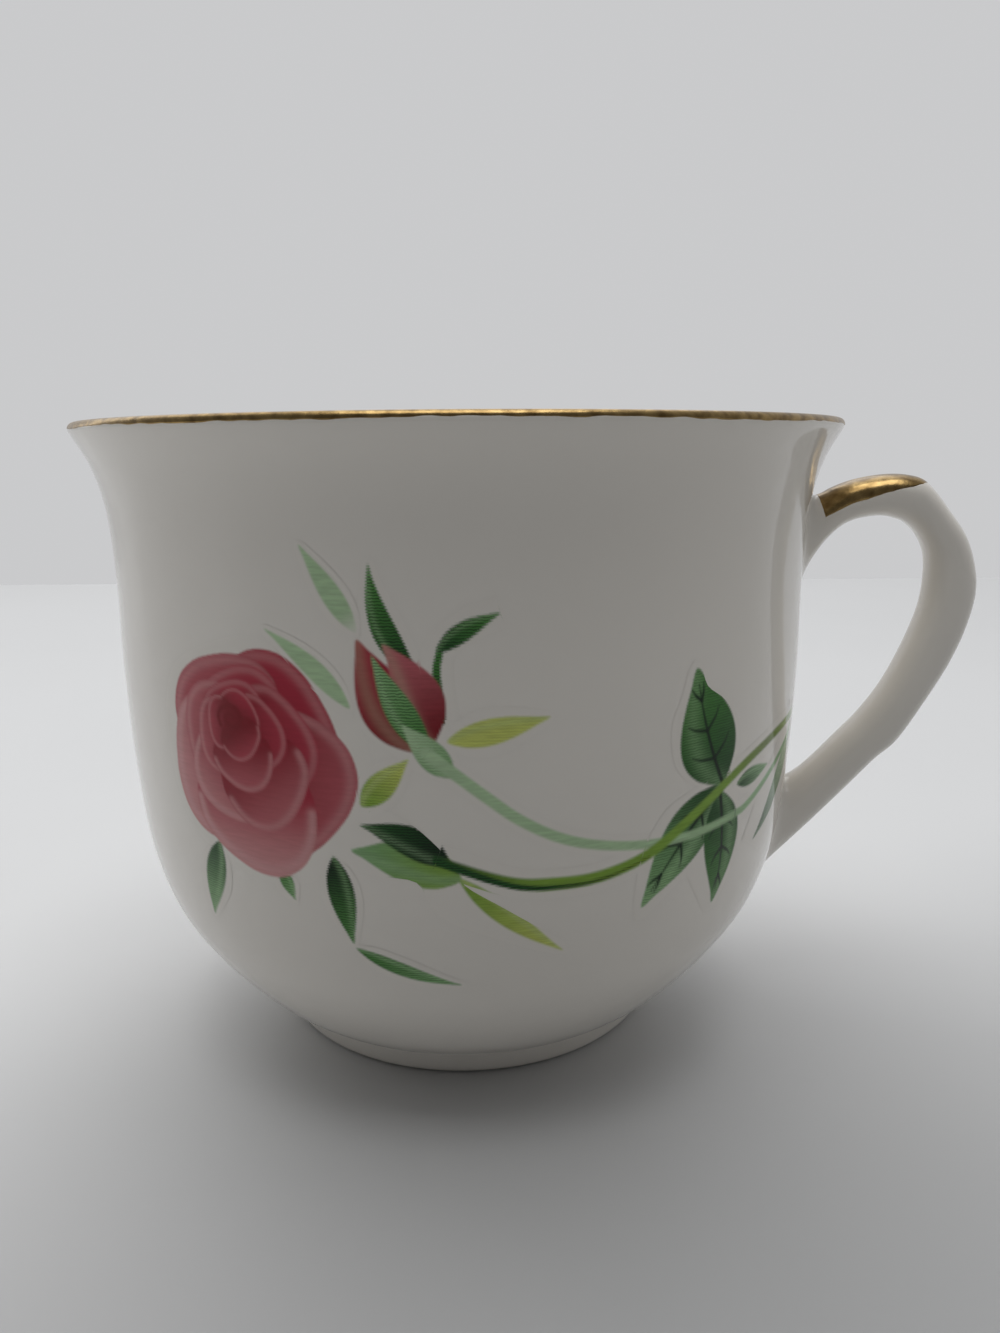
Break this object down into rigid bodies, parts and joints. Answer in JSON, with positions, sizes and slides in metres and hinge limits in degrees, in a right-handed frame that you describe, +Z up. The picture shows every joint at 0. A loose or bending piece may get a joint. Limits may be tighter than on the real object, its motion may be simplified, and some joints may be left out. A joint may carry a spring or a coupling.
{
  "type": "teacup",
  "caption": "Porcelain teacup on a short foot ring, with a flared gilt lip, a loop handle with a gold stroke on top, and a printed rose spray on one side.",
  "frame": {"origin": "on the plane that the foot stands on, under the middle of the whole cup's bounding box; the bowl's own axis is 7.85 mm from it, on the side away from the handle", "axes": "+Z up, +X from the bowl towards the handle"},
  "size_m": [0.1023, 0.0866, 0.0705],
  "materials": {
    "porcelain": "clear gloss glaze over white porcelain",
    "slip": "fired slip",
    "gold": "bright burnished gold, thinly brushed",
    "pink_print": "glossy printed enamel, crimson to pale pink",
    "dark_green_print": "glossy printed enamel",
    "green_print": "glossy printed enamel",
    "yellow_green_print": "glossy printed enamel",
    "pale_green_print": "glossy printed enamel"
  },
  "bodies": {
    "root": {"bowl": "porcelain", "foot_ring": "porcelain", "foot_slip_seam": "slip", "handle": "porcelain", "upper_slip_joint": "slip", "lower_slip_joint": "slip", "rim_gilding": "gold", "handle_gilding": "gold", "rose_bloom_transfer": "pink_print", "rose_bud_transfer": "pink_print", "bud_left_sepal_transfer": "dark_green_print", "bud_right_sepal_transfer": "dark_green_print", "bud_stem_transfer": "pale_green_print", "yellow_leaf_transfer": "yellow_green_print", "bloom_side_leaf_transfer": "green_print", "calyx_leaf_transfer": "green_print", "main_stem_transfer": "green_print", "upper_leaf_transfer": "dark_green_print", "lower_leaf_pair_transfer": "dark_green_print", "upper_stem_transfer": "green_print", "lower_stem_transfer": "pale_green_print", "side_leaflet_transfer": "dark_green_print", "edge_leaf_transfer": "dark_green_print", "left_sepal_transfer": "green_print", "middle_sepal_transfer": "pale_green_print", "right_sepal_transfer": "dark_green_print", "trailing_leaf_transfer": "green_print", "upper_sprig_transfer": "pale_green_print", "lower_sprig_transfer": "pale_green_print"}
  },
  "joints": []
}
